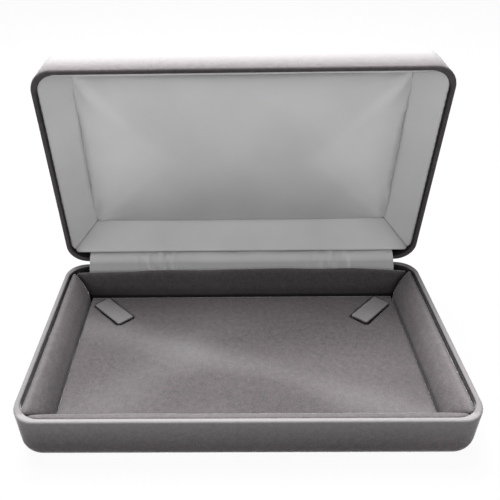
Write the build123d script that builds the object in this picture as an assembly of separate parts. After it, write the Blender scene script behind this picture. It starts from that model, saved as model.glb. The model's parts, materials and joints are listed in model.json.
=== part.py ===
from build123d import *

import os
from math import cos, radians, sin, tan

# Necklace gift box, shown open: a pressed steel clamshell wrapped in velvet.
# Both halves are drawn in one half frame: the origin is the middle of the hinge axis, the rim
# plane is Z 0, the half reaches forward to -Y and its depth runs down to -Z. The base stands
# under that frame, and the lid is the same frame turned up about the hinge axis.

# Overall sizes of the two pressed halves (mm)
box_width = 178.0
box_depth = 105.0
base_height = 22.4
lid_height = 25.4
corner_radius = 9.8
bottom_radius = 8.0
wall_draft = 1.5
lid_opening = 81.8

# Skins and clearances
cover_thickness = 0.8
shell_thickness = 0.5
turn_down_depth = 7.0
rim_roll = 1.0
rim_gap = 0.3
bond_gap = 0.05
seat_gap = 0.1
soft_gap = 0.3
leaf_play = 0.5
trim_over = 5.0
trim_reach = 8.0

# Hinge, pin and springs
axis_offset = 0.6
hinge_length = 140.0
knuckle_count = 7
knuckle_gap = 0.3
knuckle_radius = 1.3
pin_radius = 0.55
pin_clearance = 0.05
pin_overhang = 0.4
pin_chamfer = 0.15
leaf_thickness = 0.5
leaf_depth = 12.0
notch_clearance = 0.3
rivet_count = 5
rivet_radius = 1.0
rivet_head_radius = 1.7
rivet_head_height = 0.6
rivet_dome = 0.48
rivet_depth = 8.5
rivet_drill = 6.0
spring_width = 12.0
spring_spread = 76.0
spring_thickness = 0.4
spring_leg = 5.0

# Satin strip over the hinge
ribbon_length = 155.5
ribbon_thickness = 0.35
ribbon_radius = 3.75
ribbon_base_tuck = 7.5
ribbon_lid_tuck = 6.0
ribbon_seat = 0.45
ribbon_fold = 2.2
ribbon_rise = 0.5
ribbon_bend = 1.2

# Velvet insert in the base
insert_side_gap = 0.4
insert_rear_gap = 3.2
floor_depth = 13.0
wall_crest_depth = 0.9
side_wall_run = 9.5
front_wall_run = 9.5
rear_wall_run = 5.7
crest_radius = 1.8
wall_crown = 1.1
mitre_gap = 0.8
mitre_reach = 0.5
board_thickness = 1.2
floor_pad_thickness = 2.0
floor_pad_edge = 1.2
tab_length = 22.0
tab_width = 8.6
tab_thickness = 1.2
tab_angle = 48.0
tab_lift = 3.0
tab_slit = 0.5
tab_root_inset_x = 6.0
tab_root_inset_y = 4.0
tab_corner_radius = 0.8

# Satin liner in the lid
liner_recess = 2.2
liner_side_gap = 0.6
liner_rear_gap = 3.3
liner_depth = 14.0
liner_side_run = 12.7
liner_front_run = 6.0
liner_rear_run = 12.0
liner_panel_thickness = 1.2
liner_pad_thickness = 1.2
liner_crown = 3.0
liner_edge_crown = 0.6
liner_draw_in = 1.0
liner_board_overlap = 1.0

wall_thickness = 2 * cover_thickness + shell_thickness + 2 * bond_gap
draft_slope = tan(radians(wall_draft))
half_centre_y = -(axis_offset + box_depth / 2)
front_y = -(axis_offset + box_depth)


def pressed_form(inset, height, top=0.0):
    """Solid inside of a pressed half, offset inwards by inset, from Z top to its bottom."""
    grow = top * draft_slope - inset
    outline = RectangleRounded(box_width + 2 * grow, box_depth + 2 * grow, corner_radius + grow)
    form = extrude(outline, amount=height - inset + top, taper=wall_draft)
    form = fillet(form.edges().group_by(Axis.Z)[-1], bottom_radius - inset)
    return Pos(0, half_centre_y, top) * Rot(X=180) * form


def slab(low, high, y_low=front_y - trim_over, y_high=trim_over, width=box_width + 2 * trim_over):
    """A box from Z low to Z high across the half, used to trim it."""
    size_y = y_high - y_low
    return Pos(0, (y_low + y_high) / 2, (low + high) / 2) * Box(width, size_y, high - low)


def on_base(shape):
    """Move a piece from the half frame to its place in the base."""
    return Pos(0, box_depth / 2 + axis_offset, base_height) * shape


def on_lid(shape):
    """Turn a piece from the half frame to its place in the open lid."""
    return Pos(0, box_depth / 2 + axis_offset, base_height) * Rot(X=180 - lid_opening) * Rot(Z=180) * shape


def lid_point(forward, depth):
    """Where a point of the lid's half lies in the base's half frame, as (Y, Z)."""
    angle = radians(lid_opening)
    return (-cos(angle) * forward + sin(angle) * depth, sin(angle) * forward + cos(angle) * depth)


def knuckle_spans(first):
    """X ranges of every second knuckle, from knuckle number first."""
    pitch = hinge_length / knuckle_count
    starts = [-hinge_length / 2 + pitch * k for k in range(first, knuckle_count, 2)]
    return [(start + knuckle_gap / 2, start + pitch - knuckle_gap / 2) for start in starts]


def rivet_places():
    """X of each rivet, spread evenly along the hinge leaf."""
    pitch = hinge_length / rivet_count
    return [pitch * (k + 0.5) - hinge_length / 2 for k in range(rivet_count)]


def back_wall_place(x, depth, inset):
    """Frame on the back wall at a depth, with its Z axis pointing out of the box."""
    y = -(axis_offset + inset + depth * draft_slope)
    return Pos(x, y, -depth) * Rot(X=-90 - wall_draft)


def x_cylinder(radius, x_low, x_high):
    """A rod along the hinge axis."""
    return Pos((x_low + x_high) / 2, 0, 0) * Rot(Y=90) * Cylinder(radius, x_high - x_low)


def hinge_notch():
    """Space cut out of the back rim for the knuckles and their tongues."""
    depth = knuckle_radius + notch_clearance
    return slab(-depth, trim_over, y_low=-trim_reach, width=hinge_length + 2 * notch_clearance)


def make_cover(height):
    """Velvet wrap: outside skin, rolled rim and the edge turned down inside."""
    top = -rim_gap / 2
    skin = pressed_form(0, height, top) - pressed_form(cover_thickness, height, 1)
    inner_inset = wall_thickness - cover_thickness
    lining = pressed_form(inner_inset, height, top) & slab(-turn_down_depth, top)
    roll = pressed_form(0, height, top) & slab(top - cover_thickness, top)
    cover = skin + lining + roll - pressed_form(wall_thickness, height, 1)
    rim_edges = cover.edges().group_by(Axis.Z)[-1]
    cover = fillet(rim_edges, rim_roll)
    leaf_slab = slab(-turn_down_depth - 1, 1, y_low=-trim_reach, width=hinge_length + 2 * leaf_play)
    return cover - hinge_notch() - (pressed_form(inner_inset, height, 1) & leaf_slab)


def make_shell(height):
    """Pressed steel half, drilled for the hinge rivets."""
    inset = cover_thickness + bond_gap
    top = -rim_gap / 2 - cover_thickness - bond_gap
    shell = pressed_form(inset, height, top) - pressed_form(inset + shell_thickness, height, 1)
    shell -= hinge_notch()
    for x in rivet_places():
        hole = Cylinder(rivet_radius + bond_gap, rivet_drill)
        shell -= back_wall_place(x, rivet_depth, inset) * hole
    return shell


def leaf_inset():
    """Inset of the hinge leaf's outer face, which lies on the steel."""
    return cover_thickness + shell_thickness + 2 * bond_gap


def make_hinge_leaf(height, first_knuckle):
    """Strip on the inside of the back wall with tongues that curl round the pin."""
    inset = leaf_inset()
    low = knuckle_radius - leaf_thickness
    strip = pressed_form(inset, height, 1) - pressed_form(inset + leaf_thickness, height, 1)
    leaf = strip & slab(-leaf_depth, -low, y_low=-trim_reach, width=hinge_length)
    reach = axis_offset + inset + leaf_thickness
    for x_low, x_high in knuckle_spans(first_knuckle):
        tongue = Pos((x_low + x_high) / 2, -reach / 2, -knuckle_radius + leaf_thickness / 2)
        leaf += tongue * Box(x_high - x_low, reach, leaf_thickness)
        leaf += x_cylinder(knuckle_radius, x_low, x_high)
        leaf -= x_cylinder(pin_radius + pin_clearance, x_low - 1, x_high + 1)
    for x in rivet_places():
        hole = Cylinder(rivet_radius + bond_gap, rivet_drill)
        leaf -= back_wall_place(x, rivet_depth, inset) * hole
    return leaf


def make_rivets():
    """Rivets through the leaf and the steel, with domed heads inside the box."""
    shank_length = shell_thickness + leaf_thickness + bond_gap
    head = Cylinder(rivet_head_radius, rivet_head_height)
    head = fillet(head.edges().group_by(Axis.Z)[0], rivet_dome)
    rivet = Pos(0, 0, -shank_length / 2) * Cylinder(rivet_radius, shank_length)
    rivet += Pos(0, 0, -shank_length - rivet_head_height / 2) * head
    seat = cover_thickness + bond_gap
    return Compound([back_wall_place(x, rivet_depth, seat) * rivet for x in rivet_places()])


def make_hinge_pin():
    """Wire through all the knuckles, with its ends chamfered."""
    half = hinge_length / 2 + pin_overhang
    pin = x_cylinder(pin_radius, -half, half)
    return chamfer(pin.edges().filter_by(GeomType.CIRCLE), pin_chamfer)


def ring_sector(inner, outer, width):
    """Bent strip round the hinge axis, from the base's rim plane to the lid's."""
    end = radians(180 - lid_opening)
    middle = (radians(180) + end) / 2
    place = Plane.YZ.offset(-width / 2)
    points = [[(r * cos(a), r * sin(a)) for a in (radians(180), middle, end)] for r in (inner, outer)]
    inside = ThreePointArc(*points[0])
    outside = ThreePointArc(*points[1])
    sides = [Line(inside @ 0, outside @ 0), Line(inside @ 1, outside @ 1)]
    return extrude(place * make_face([inside, outside, *sides]), amount=width)


def make_snap_spring(x):
    """Leaf spring bent over the back rims, one leg on each hinge leaf."""
    inset = leaf_inset() + leaf_thickness + bond_gap
    legs = []
    for height in (base_height, lid_height):
        strip = pressed_form(inset, height, 0) - pressed_form(inset + spring_thickness, height, 1)
        legs.append(strip & slab(-spring_leg, 0, y_low=-trim_reach, width=spring_width))
    bend = ring_sector(axis_offset + inset, axis_offset + inset + spring_thickness, spring_width)
    spring = Pos(x, 0, 0) * (legs[0] + bend)
    lid_leg = on_lid(Pos(-x, 0, 0) * legs[1])
    return on_base(spring) + lid_leg


def make_hinge_ribbon():
    """Satin strip that hides the hinge, tucked behind both inserts."""
    rear_of_pad = -(axis_offset + wall_thickness + insert_rear_gap - ribbon_seat)
    rear_of_liner = axis_offset + wall_thickness + liner_rear_gap - liner_panel_thickness - ribbon_seat
    points = [
        lid_point(rear_of_liner, ribbon_lid_tuck),
        lid_point(rear_of_liner, ribbon_fold),
        lid_point(ribbon_radius, -ribbon_rise),
        (-ribbon_radius, ribbon_rise),
        (rear_of_pad, -ribbon_fold),
        (rear_of_pad, -ribbon_base_tuck),
    ]
    path = FilletPolyline(*points, radius=ribbon_bend)
    outline = offset(path, amount=ribbon_thickness / 2, side=Side.BOTH, closed=True)
    return extrude(Plane.YZ.offset(-ribbon_length / 2) * make_face(outline), amount=ribbon_length)


def wall_profile(run):
    """Section of a crowned wall pad: X inwards from its outer face, Y up to the rim plane."""
    foot = -base_height + cover_thickness + shell_thickness + 3 * bond_gap + board_thickness + seat_gap
    top = -wall_crest_depth
    slope_start = (crest_radius, top)
    slope_end = (run, -floor_depth)
    middle = ((slope_start[0] + slope_end[0]) / 2, (slope_start[1] + slope_end[1]) / 2)
    length = ((slope_end[0] - slope_start[0]) ** 2 + (slope_end[1] - slope_start[1]) ** 2) ** 0.5
    out = ((slope_start[1] - slope_end[1]) / length, (slope_end[0] - slope_start[0]) / length)
    bulge = (middle[0] + out[0] * wall_crown, middle[1] + out[1] * wall_crown)
    lean = crest_radius * (1 - cos(radians(45)))
    lines = [
        Line((0, foot), (0, top - crest_radius)),
        ThreePointArc((0, top - crest_radius), (lean, top - lean), slope_start),
        ThreePointArc(slope_start, bulge, slope_end),
        Line(slope_end, (run, foot)),
        Line((run, foot), (0, foot)),
    ]
    return make_face(lines)


def plan_wedges(outer, inner, gap):
    """Four plan regions between an outer and an inner rectangle, split at the mitred corners.

    Each rectangle is (half width, front Y, rear Y). The regions reach past the outer corners.
    """
    (wide, front, rear), (narrow, inner_front, inner_rear) = outer, inner
    over_x = wide + (wide - narrow) * mitre_reach
    over_front = front + (front - inner_front) * mitre_reach
    over_rear = rear + (rear - inner_rear) * mitre_reach
    far = {
        "fl": (-over_x, over_front), "fr": (over_x, over_front),
        "rl": (-over_x, over_rear), "rr": (over_x, over_rear),
    }
    near = {
        "fl": (-narrow, inner_front), "fr": (narrow, inner_front),
        "rl": (-narrow, inner_rear), "rr": (narrow, inner_rear),
    }
    sides = {"left": ("fl", "rl", -gap / 2, 0), "right": ("fr", "rr", gap / 2, 0),
             "front": ("fl", "fr", 0, -gap / 2), "rear": ("rl", "rr", 0, gap / 2)}
    wedges = {}
    for name, (start, end, shift_x, shift_y) in sides.items():
        outline = Polyline(far[start], near[start], near[end], far[end], close=True)
        wedge = extrude(make_face(outline), amount=2 * base_height, both=True)
        wedges[name] = Pos(shift_x, shift_y, 0) * wedge
    return wedges


def insert_rectangles():
    """Outside of the insert and outline of its floor, as (half width, front Y, rear Y)."""
    half_width = box_width / 2 - wall_thickness - insert_side_gap
    rear = -(axis_offset + wall_thickness + insert_rear_gap)
    front = front_y + wall_thickness + insert_side_gap
    inner = (half_width - side_wall_run, front + front_wall_run, rear - rear_wall_run)
    return (half_width, front, rear), inner


def make_wall_pads():
    """Four crowned velvet walls that slope from the rim down to the floor pad."""
    outer, inner = insert_rectangles()
    half_width, front, rear = outer
    room = pressed_form(wall_thickness + insert_side_gap, base_height, 0)
    wedges = plan_wedges(outer, inner, mitre_gap)
    side = extrude(Plane.XZ.offset(-rear) * wall_profile(side_wall_run), amount=rear - front)
    front_bar = extrude(Plane.YZ.offset(-half_width) * wall_profile(front_wall_run), amount=2 * half_width)
    rear_bar = extrude(Plane.YZ.offset(-half_width) * wall_profile(rear_wall_run), amount=2 * half_width)
    bars = {
        "left": Pos(-half_width, 0, 0) * side,
        "right": mirror(Pos(-half_width, 0, 0) * side, about=Plane.YZ),
        "front": Pos(0, front, 0) * front_bar,
        "rear": Pos(0, rear, 0) * mirror(rear_bar, about=Plane.XZ),
    }
    return {name: bars[name] & room & wedges[name] for name in bars}


def plate(rectangle, margin, low, high):
    """Flat plate inside a (half width, front Y, rear Y) rectangle, drawn in by margin."""
    half_width, front, rear = rectangle
    size = Box(2 * (half_width - margin), rear - front - 2 * margin, high - low)
    return Pos(0, (front + rear) / 2, (low + high) / 2) * size


def insert_levels():
    """Z of the board's underside and top, and of the floor pad's underside."""
    board_low = -base_height + cover_thickness + shell_thickness + 3 * bond_gap
    return board_low, board_low + board_thickness, -floor_depth - floor_pad_thickness


def make_insert_board():
    """Card under the insert, resting on the steel."""
    low, high = insert_levels()[:2]
    room = pressed_form(leaf_inset() + seat_gap, base_height, 0)
    return plate(insert_rectangles()[0], 0, low, high) & room


def make_insert_foam():
    """Foam block that carries the floor pad."""
    board_top, floor_low = insert_levels()[1:]
    return plate(insert_rectangles()[1], soft_gap, board_top + seat_gap, floor_low - seat_gap)


def tab_place():
    """Frame at the middle of the left tab's root, with X running to its free end."""
    half_width, _, rear = insert_rectangles()[1]
    root = Pos(-half_width + tab_root_inset_x, rear - tab_root_inset_y, -floor_depth)
    return root * Rot(Z=-tab_angle)


def make_floor_pad():
    """Velvet floor of the insert with a slot round each necklace tab."""
    pad = plate(insert_rectangles()[1], soft_gap, insert_levels()[2], -floor_depth)
    pad = fillet(pad.edges().group_by(Axis.Z)[-1], floor_pad_edge)
    slot_width = tab_width + 2 * tab_slit
    slot_length = tab_length + tab_slit + seat_gap
    slot = Pos((tab_length + tab_slit - seat_gap) / 2, 0, 0) * Box(slot_length, slot_width, 2 * trim_over)
    left_slot = tab_place() * slot
    return pad - left_slot - mirror(left_slot, about=Plane.YZ)


def make_left_tab():
    """Velvet covered card tab, cut free on three sides and lifted a little at its end."""
    tab = Pos(tab_length / 2, 0, -tab_thickness / 2) * Box(tab_length, tab_width, tab_thickness)
    end_corners = tab.edges().filter_by(Axis.Z).group_by(Axis.X)[-1]
    tab = fillet(end_corners, tab_corner_radius)
    return tab_place() * Rot(Y=-tab_lift) * tab


def liner_rectangles():
    """Outer edge of the lid's liner and outline of its centre, as (half width, front Y, rear Y)."""
    half_width = box_width / 2 - wall_thickness - liner_side_gap
    rear = -(axis_offset + wall_thickness + liner_rear_gap)
    front = front_y + wall_thickness + liner_side_gap
    inner = (half_width - liner_side_run, front + liner_front_run, rear - liner_rear_run)
    return (half_width, front, rear), inner


def hopper(margin):
    """Solid inside of the four sloped liner panels, grown in plan by margin."""
    faces = []
    for (half_width, front, rear), depth in zip(liner_rectangles(), (liner_recess, liner_depth)):
        width = 2 * (half_width + margin)
        outline = Rectangle(width, rear - front + 2 * margin)
        faces.append(Pos(0, (front + rear) / 2, -depth) * outline)
    return loft(faces, ruled=True)


def make_liner_panels():
    """Four satin covered cards that slope from the lid's rim to its centre pad."""
    outer, inner = liner_rectangles()
    wall = hopper(liner_panel_thickness) - hopper(0)
    wall &= pressed_form(wall_thickness + seat_gap, lid_height, 0)
    wedges = plan_wedges(outer, inner, seat_gap)
    return {name: wall & wedge for name, wedge in wedges.items()}


def make_liner_pad():
    """Satin cushion in the middle of the lid, crowned and drawn in between its corners."""
    half_width, front, rear = liner_rectangles()[1]
    low = -liner_depth - liner_pad_thickness
    sections = []
    for share in (-1.0, -0.5, 0.0, 0.5, 1.0):
        swell = 1 - share ** 2
        half = half_width - soft_gap - liner_draw_in * swell
        rise = liner_edge_crown + (liner_crown - liner_edge_crown) * swell
        lines = [
            Line((-half, low), (half, low)),
            Line((half, low), (half, -liner_depth)),
            ThreePointArc((half, -liner_depth), (0, -liner_depth + rise), (-half, -liner_depth)),
            Line((-half, -liner_depth), (-half, low)),
        ]
        y = (front + rear) / 2 + share * ((rear - front) / 2 - soft_gap)
        sections.append(Plane.XZ.offset(-y) * make_face(lines))
    return loft(sections)


def liner_levels():
    """Z of the liner board's top and underside, and of the foam's underside."""
    top = -liner_depth - liner_pad_thickness - seat_gap
    foam_low = -lid_height + cover_thickness + shell_thickness + 3 * bond_gap
    return top, top - board_thickness, foam_low


def make_liner_board():
    """Card behind the satin centre, which the panels and the pad are glued to."""
    top, low = liner_levels()[:2]
    return plate(liner_rectangles()[1], -liner_board_overlap, low, top)


def make_liner_foam():
    """Foam block between the liner's board and the steel of the lid."""
    board_low, foam_low = liner_levels()[1:]
    room = pressed_form(leaf_inset() + seat_gap, lid_height, 0)
    return plate(liner_rectangles()[1], 0, foam_low, board_low - seat_gap) & room


def make_parts():
    """Every piece at its place, by name."""
    base_half = {
        "base_cover": make_cover(base_height),
        "base_shell": make_shell(base_height),
        "base_hinge_leaf": make_hinge_leaf(base_height, 0),
        "base_leaf_rivets": make_rivets(),
        "hinge_pin": make_hinge_pin(),
        "hinge_ribbon": make_hinge_ribbon(),
        "insert_board": make_insert_board(),
        "insert_foam": make_insert_foam(),
        "floor_pad": make_floor_pad(),
    }
    for name, pad in make_wall_pads().items():
        base_half[f"{name}_wall_pad"] = pad
    left_tab = make_left_tab()
    base_half["left_tab"] = left_tab
    base_half["right_tab"] = mirror(left_tab, about=Plane.YZ)
    lid_half = {
        "lid_cover": make_cover(lid_height),
        "lid_shell": make_shell(lid_height),
        "lid_hinge_leaf": make_hinge_leaf(lid_height, 1),
        "lid_leaf_rivets": make_rivets(),
        "liner_board": make_liner_board(),
        "liner_foam": make_liner_foam(),
        "liner_centre_pad": make_liner_pad(),
    }
    for name, panel in make_liner_panels().items():
        side = {"left": "right", "right": "left"}.get(name, name)
        lid_half[f"liner_{side}_panel"] = panel
    parts = {name: on_base(shape) for name, shape in base_half.items()}
    parts |= {name: on_lid(shape) for name, shape in lid_half.items()}
    parts["snap_spring_left"] = make_snap_spring(-spring_spread / 2)
    parts["snap_spring_right"] = make_snap_spring(spring_spread / 2)
    return parts


def main():
    """Write one STEP file for each piece."""
    os.makedirs("parts", exist_ok=True)
    for name, shape in make_parts().items():
        export_step(shape, f"parts/{name}.step")


if __name__ == "__main__":
    main()
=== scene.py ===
"""Looks of the velvet necklace gift box: wraps, insert, satin liner, hinge strip and studio.

Each half is drawn in a half frame: the middle of the hinge is the origin, the rim plane is Z 0,
the half reaches towards -Y, and its depth towards -Z. on_base and on_lid carry it to its place.
"""
import json
from functools import cache
from math import cos, exp, pi, radians, sin

import bmesh
import bpy
from bpy.props import FloatProperty, FloatVectorProperty, IntProperty, PointerProperty
from mathutils import Matrix, Vector, noise


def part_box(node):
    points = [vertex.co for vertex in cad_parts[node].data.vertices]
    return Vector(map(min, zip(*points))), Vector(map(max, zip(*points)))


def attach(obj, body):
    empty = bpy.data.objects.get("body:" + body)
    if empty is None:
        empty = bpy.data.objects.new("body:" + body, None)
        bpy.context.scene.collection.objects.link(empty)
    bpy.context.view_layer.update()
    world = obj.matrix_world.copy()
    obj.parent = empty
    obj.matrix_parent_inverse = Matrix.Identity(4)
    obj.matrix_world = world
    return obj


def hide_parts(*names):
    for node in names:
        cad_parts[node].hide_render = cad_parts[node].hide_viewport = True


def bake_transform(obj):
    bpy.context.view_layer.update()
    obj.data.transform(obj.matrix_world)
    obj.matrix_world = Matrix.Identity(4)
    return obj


bl_info = {
    "name": "Necklace Gift Box",
    "version": (1, 0, 0),
    "blender": (4, 5, 0),
    "location": "View3D > Sidebar > Gift Box",
    "description": "Dresses the fixed model of a velvet necklace gift box",
    "category": "Object",
}

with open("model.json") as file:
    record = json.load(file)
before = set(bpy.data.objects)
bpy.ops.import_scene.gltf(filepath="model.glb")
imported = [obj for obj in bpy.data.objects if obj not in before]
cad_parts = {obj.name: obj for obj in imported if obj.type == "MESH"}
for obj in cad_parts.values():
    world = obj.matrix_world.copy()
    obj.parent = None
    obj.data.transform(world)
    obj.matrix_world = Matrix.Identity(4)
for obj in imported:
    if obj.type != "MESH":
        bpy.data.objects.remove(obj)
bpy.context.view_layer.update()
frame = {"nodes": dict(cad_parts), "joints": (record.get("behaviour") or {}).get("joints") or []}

mm = 0.001
hair = 0.01 * mm  # what tells points of one plane from others
lid_joint = next(joint for joint in frame["joints"] if joint["name"] == "lid_hinge")
hinge = Vector(lid_joint["pos_m"])
lid_opening = radians(lid_joint["range_deg"][1])
on_base = Matrix.Translation(hinge)
on_lid = on_base @ Matrix.Rotation(pi - lid_opening, 4, "X") @ Matrix.Rotation(pi, 4, "Z")
base_low, base_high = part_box("base_cover")
box_width = base_high[0] - base_low[0]
box_depth = base_high[1] - base_low[1]
wrap_back = base_high[1] - hinge.y  # the back of both halves in the half frame
leaf_low, leaf_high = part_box("base_hinge_leaf")
ribbon_low, ribbon_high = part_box("hinge_ribbon")
floor_low, floor_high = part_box("floor_pad")
# The opening between the liner's panels: half its width, and its ends in the half frame
liner_half, liner_front, liner_rear = 73.5 * mm, -96.8 * mm, -18.1 * mm
liner_middle, liner_reach = (liner_front + liner_rear) / 2, (liner_rear - liner_front) / 2
# Sockets of a Mix node that is set to colours
share_in, first_in, second_in, colour_out = 0, 6, 7, 2


def srgb(code):
    """Linear RGB of an sRGB hex colour."""
    shares = [int(code[start:start + 2], 16) / 255 for start in (1, 3, 5)]
    return tuple(share / 12.92 if share <= 0.04045 else ((share + 0.055) / 1.055) ** 2.4
                 for share in shares)


def length(label, description, default):
    """A length in metres that a user can set."""
    return FloatProperty(name=label, description=description, default=default, min=0, unit="LENGTH")


def colour(label, description, code):
    """A colour that a user can set."""
    return FloatVectorProperty(name=label, description=description, subtype="COLOR", size=3,
                               min=0, max=1, default=srgb(code))


def angle(label, description, degrees):
    """An angle that a user can set."""
    return FloatProperty(name=label, description=description, default=radians(degrees),
                         subtype="ANGLE")


def amount(label, description, default):
    """A plain number that a user can set."""
    return FloatProperty(name=label, description=description, default=default)


class WrapSettings(bpy.types.PropertyGroup):
    corner_radius: length("Corner radius", "Radius of the box's upright corners", 9.8 * mm)
    edge_radius: length("Edge radius", "Radius of the rounded bottom edge", 8 * mm)
    rim_width: length("Rim width", "Width of the rolled velvet rim", 2.2 * mm)
    rim_roll: length("Rim roll", "Radius of the rim's rounding", 1.0 * mm)
    turn_down: length("Turn-down", "How far the velvet is turned down inside", 7 * mm)
    cloth: length("Cloth", "Thickness of the velvet", 0.75 * mm)
    base_height: length("Base height", "Depth of the base from its rim", hinge.z)
    lid_height: length("Lid height", "Depth of the lid from its rim", 25.4 * mm)
    draft: angle("Draft", "Lean of the walls", 1.5)
    notch_depth: length("Notch depth", "Depth of the hinge notch in the back rim", 1.6 * mm)
    notch_room: length("Notch room", "Room at each end of the hinge leaf", 0.3 * mm)
    colour: colour("Velvet", "Colour of the velvet pile", "#403d3e")
    patch: colour("Velvet patches", "Colour of the pile's lighter patches", "#656062")
    # The pale and deep colours show the floor's stroked nap streaks, and they also carry painted
    # light: painted highlights on rims, crests and the lid's front wall, and painted shade on
    # walls, lining and feet
    pale_and_highlight: colour("Pale nap", "Colour where the nap leans to the light", "#b6b4b5")
    deep_and_shade: colour("Deep nap", "Colour where the nap leans away", "#171516")


class InsertSettings(bpy.types.PropertyGroup):
    voxel: length("Voxel", "Mesh size of the padded walls", 1.1 * mm)
    floor_voxel: length("Floor voxel", "Mesh size of the floor", 0.8 * mm)
    tab_voxel: length("Tab voxel", "Mesh size of the tabs", 0.35 * mm)
    swell: length("Swell", "Furthest that the padding may push the velvet", 0.25 * mm)
    pressure: amount("Pressure", "Push of the padding on the cloth", 4)
    wave: length("Wave", "Height of the velvet's unevenness", 0.18 * mm)
    tab_wave: length("Tab wave", "Height of the unevenness of the tabs", 0.08 * mm)
    crown: length("Floor crown", "Height of the floor's soft crown", 0.5 * mm)
    ridge: length("Floor ridges", "Height of the floor's soft diagonal ridges", 0.8 * mm)
    rear_rise: length("Rear rise", "How far the rear wall's velvet stands up in front of the strip",
                      2.1 * mm)
    fill: FloatProperty(name="Fill", description="How tightly the pads are filled", default=0.7,
                        min=0, max=1)


class LinerSettings(bpy.types.PropertyGroup):
    voxel: length("Voxel", "Mesh size of the satin cushion", 1.05 * mm)
    panel_voxel: length("Panel voxel", "Mesh size of the satin panels", 0.5 * mm)
    swell: length("Swell", "Furthest that the padding may push the satin", 0.8 * mm)
    pressure: amount("Pressure", "Push of the padding on the satin", 4)
    crown: length("Crown", "Height of the ridges that run from the corners", 5.4 * mm)
    fold: length("Fold", "Height of the small tension folds at the corners", 0.8 * mm)
    tuck: length("Tuck", "How far the cushion reaches under the panels", 1.4 * mm)
    lift: length("Lift", "How far the cushion stands up against the panels' edges", 0.4 * mm)
    gap: length("Gap", "Room round the fixed model's cushion", 0.3 * mm)
    draw_in: length("Draw-in", "How far the fixed model's cushion is drawn in between its corners",
                    1.0 * mm)
    puff: length("Puff", "How far the panels' satin stands out, and its unevenness", 0.12 * mm)
    colour: colour("Satin", "Colour of the satin", "#bfbfbf")
    strip: colour("Strip", "Colour of the hinge strip's satin", "#bcbcbc")


class RibbonSettings(bpy.types.PropertyGroup):
    columns: IntProperty(name="Columns", description="Divisions along the strip", default=220,
                         min=20)
    steps: IntProperty(name="Steps", description="Divisions across the strip", default=28, min=8)
    pucker: length("Pucker", "Height of the strip's small puckers", 1.3 * mm)
    thickness: length("Thickness", "Thickness of the strip", 0.3 * mm)
    spring_bevel: length("Spring bevel", "Rounding of the leaf springs' edges", 0.06 * mm)


class StudioSettings(bpy.types.PropertyGroup):
    camera_place: FloatVectorProperty(name="Camera", description="Place of the camera",
                                      subtype="TRANSLATION", unit="LENGTH",
                                      default=(-0.00655, -0.20407, 0.19413))
    pitch: angle("Pitch", "Downward tilt of the camera", 30.691)
    yaw: angle("Yaw", "Turn of the camera to the right", -0.9965)
    roll: angle("Roll", "Sideways tilt of the camera", -1.0056)
    lens: amount("Lens", "Focal length in millimetres", 42.869)
    shift_x: amount("Shift X", "Sideways shift of the view", 0.06218)
    shift_y: amount("Shift Y", "Upward shift of the view", -0.03948)
    key_power: amount("Key", "Power of the top light in watts", 21.0)
    fill_power: amount("Fill", "Power of the front light in watts", 0.7)
    side_power: amount("Sides", "Power of each side light in watts", 3.2)
    rear_power: amount("Rear", "Power of the light behind the lid in watts", 5.0)
    sky: amount("Sky", "Brightness of the surroundings", 0.15)
    glow: amount("Paper glow", "Share of pure white that the camera sees in the paper", 0.95)


def settings(name):
    """The scene's settings of one kind."""
    return getattr(bpy.context.scene, f"gift_box_{name}")


# Selecting and shaping

def activate(piece):
    """Makes a piece the only selected object."""
    bpy.ops.object.select_all(action="DESELECT")
    piece.select_set(True)
    bpy.context.view_layer.objects.active = piece


def pick(kind, test):
    """In edit mode, selects only the verts, edges or faces that pass a test."""
    bpy.ops.mesh.select_mode(type=kind)
    bpy.ops.mesh.select_all(action="DESELECT")
    mesh = bmesh.from_edit_mesh(bpy.context.edit_object.data)
    items = {"VERT": mesh.verts, "EDGE": mesh.edges, "FACE": mesh.faces}[kind]
    for item in items:
        item.select_set(test(item))
    mesh.select_flush_mode()
    bmesh.update_edit_mesh(bpy.context.edit_object.data)


def edge_ends(edge):
    """The two end points of an edge."""
    return edge.verts[0].co, edge.verts[1].co


def apply_modifier(piece, kind, **values):
    """Adds a modifier with these values and applies it."""
    activate(piece)
    modifier = piece.modifiers.new(kind.title(), kind)
    for name, value in values.items():
        setattr(modifier, name, value)
    bpy.ops.object.modifier_apply(modifier=modifier.name)


def place(piece, matrix):
    """Puts a piece that was drawn in a half frame at its place, in its mesh."""
    piece.data.transform(matrix)
    piece.data.update()


def finish_piece(piece, name, body, material, *nodes):
    """Names, paints and mounts a finished piece, and hides the nodes that it stands for."""
    piece.name = name
    piece.data.name = name
    piece.data.materials.clear()
    piece.data.materials.append(material)
    if body:
        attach(piece, body)
    if nodes:
        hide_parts(*nodes)


def node_copy(node, name):
    """A merged copy of a node's mesh as a new object."""
    weld = 0.002 * mm
    piece = frame["nodes"][node].copy()
    piece.data = piece.data.copy()
    piece.parent = None
    piece.matrix_world = Matrix.Identity(4)
    piece.name = name
    bpy.context.scene.collection.objects.link(piece)
    activate(piece)
    bpy.ops.object.mode_set(mode="EDIT")
    bpy.ops.mesh.select_all(action="SELECT")
    bpy.ops.mesh.remove_doubles(threshold=weld)
    bpy.ops.mesh.normals_make_consistent(inside=False)
    bpy.ops.object.mode_set(mode="OBJECT")
    return piece


def smooth(piece, degrees=60):
    """Smooth shading with sharp edges kept above an angle."""
    activate(piece)
    bpy.ops.object.shade_smooth_by_angle(angle=radians(degrees))


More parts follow.
